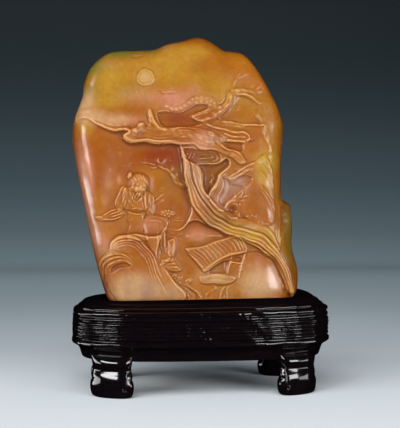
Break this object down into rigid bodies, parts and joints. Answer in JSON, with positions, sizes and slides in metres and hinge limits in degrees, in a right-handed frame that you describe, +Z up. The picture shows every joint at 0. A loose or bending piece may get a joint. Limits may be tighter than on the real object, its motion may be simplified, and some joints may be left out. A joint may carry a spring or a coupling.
{
  "type": "stone landscape carving on a wood stand",
  "caption": "Upright soapstone boulder carved in relief with moon, pines, huts, rocks and a seated figure, on a footed dark wood stand.",
  "frame": {"origin": "on the ground, under the middle of the stand", "axes": "+Z up, carved face towards -Y, +X to the right as seen from the front"},
  "size_m": [0.1276, 0.0766, 0.1739],
  "materials": {
    "soapstone": "waxed and polished, honey, orange and pink",
    "dark_wood": "near-black brown, glossy lacquer"
  },
  "bodies": {
    "root": {"stone_carving": "soapstone", "wood_stand": "dark_wood"}
  },
  "joints": []
}
